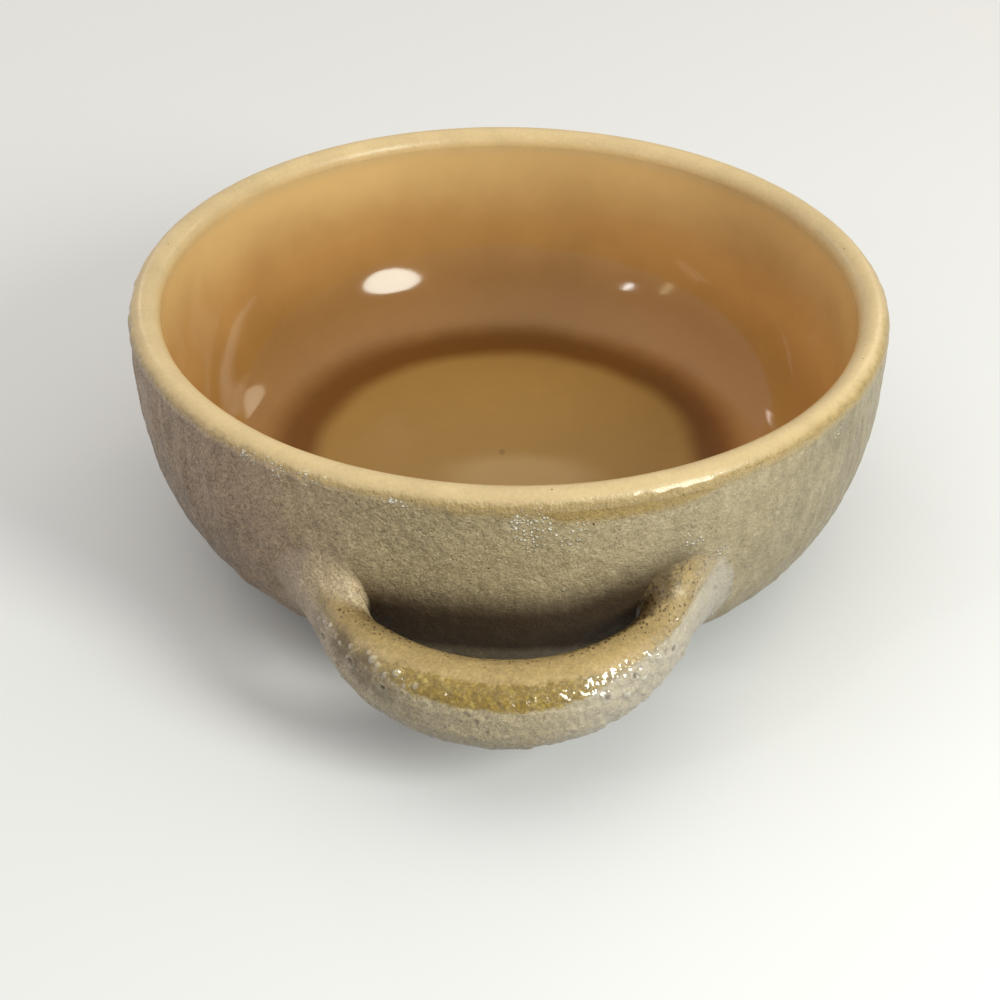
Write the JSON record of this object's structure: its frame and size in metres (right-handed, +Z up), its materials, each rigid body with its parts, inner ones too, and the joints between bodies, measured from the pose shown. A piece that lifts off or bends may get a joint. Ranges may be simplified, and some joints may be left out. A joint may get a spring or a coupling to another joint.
{
  "type": "lug soup bowl",
  "caption": "Round stoneware soup bowl with a thick rounded lip, a full belly on a low foot ring and one low horizontal loop lug on its side.",
  "frame": {"origin": "centre of the foot ring's flat, on the bowl's axis, at table level", "axes": "+Z up along the bowl's axis; the lug points to -Y; +X to the right when facing the lug"},
  "size_m": [0.14, 0.1588, 0.051],
  "materials": {
    "stoneware": "bare fired clay, matt, with fine grog specks",
    "amber_glaze": "glossy translucent amber, darker brown where it pools round the floor",
    "cream_glaze": "glossy pale cream with a few dark pinholes",
    "grey_glaze": "glossy grey-green with an orange-peel surface and fine specks",
    "lug_glaze": "glossy, cream on top, ochre at the crown's edge, pitted grey on the outer face"
  },
  "bodies": {
    "root": {"bowl_body": "stoneware", "lug_handle": "stoneware", "interior_glaze": "amber_glaze", "rim_glaze": "cream_glaze", "exterior_glaze": "grey_glaze", "lug_glaze": "lug_glaze"}
  },
  "joints": []
}
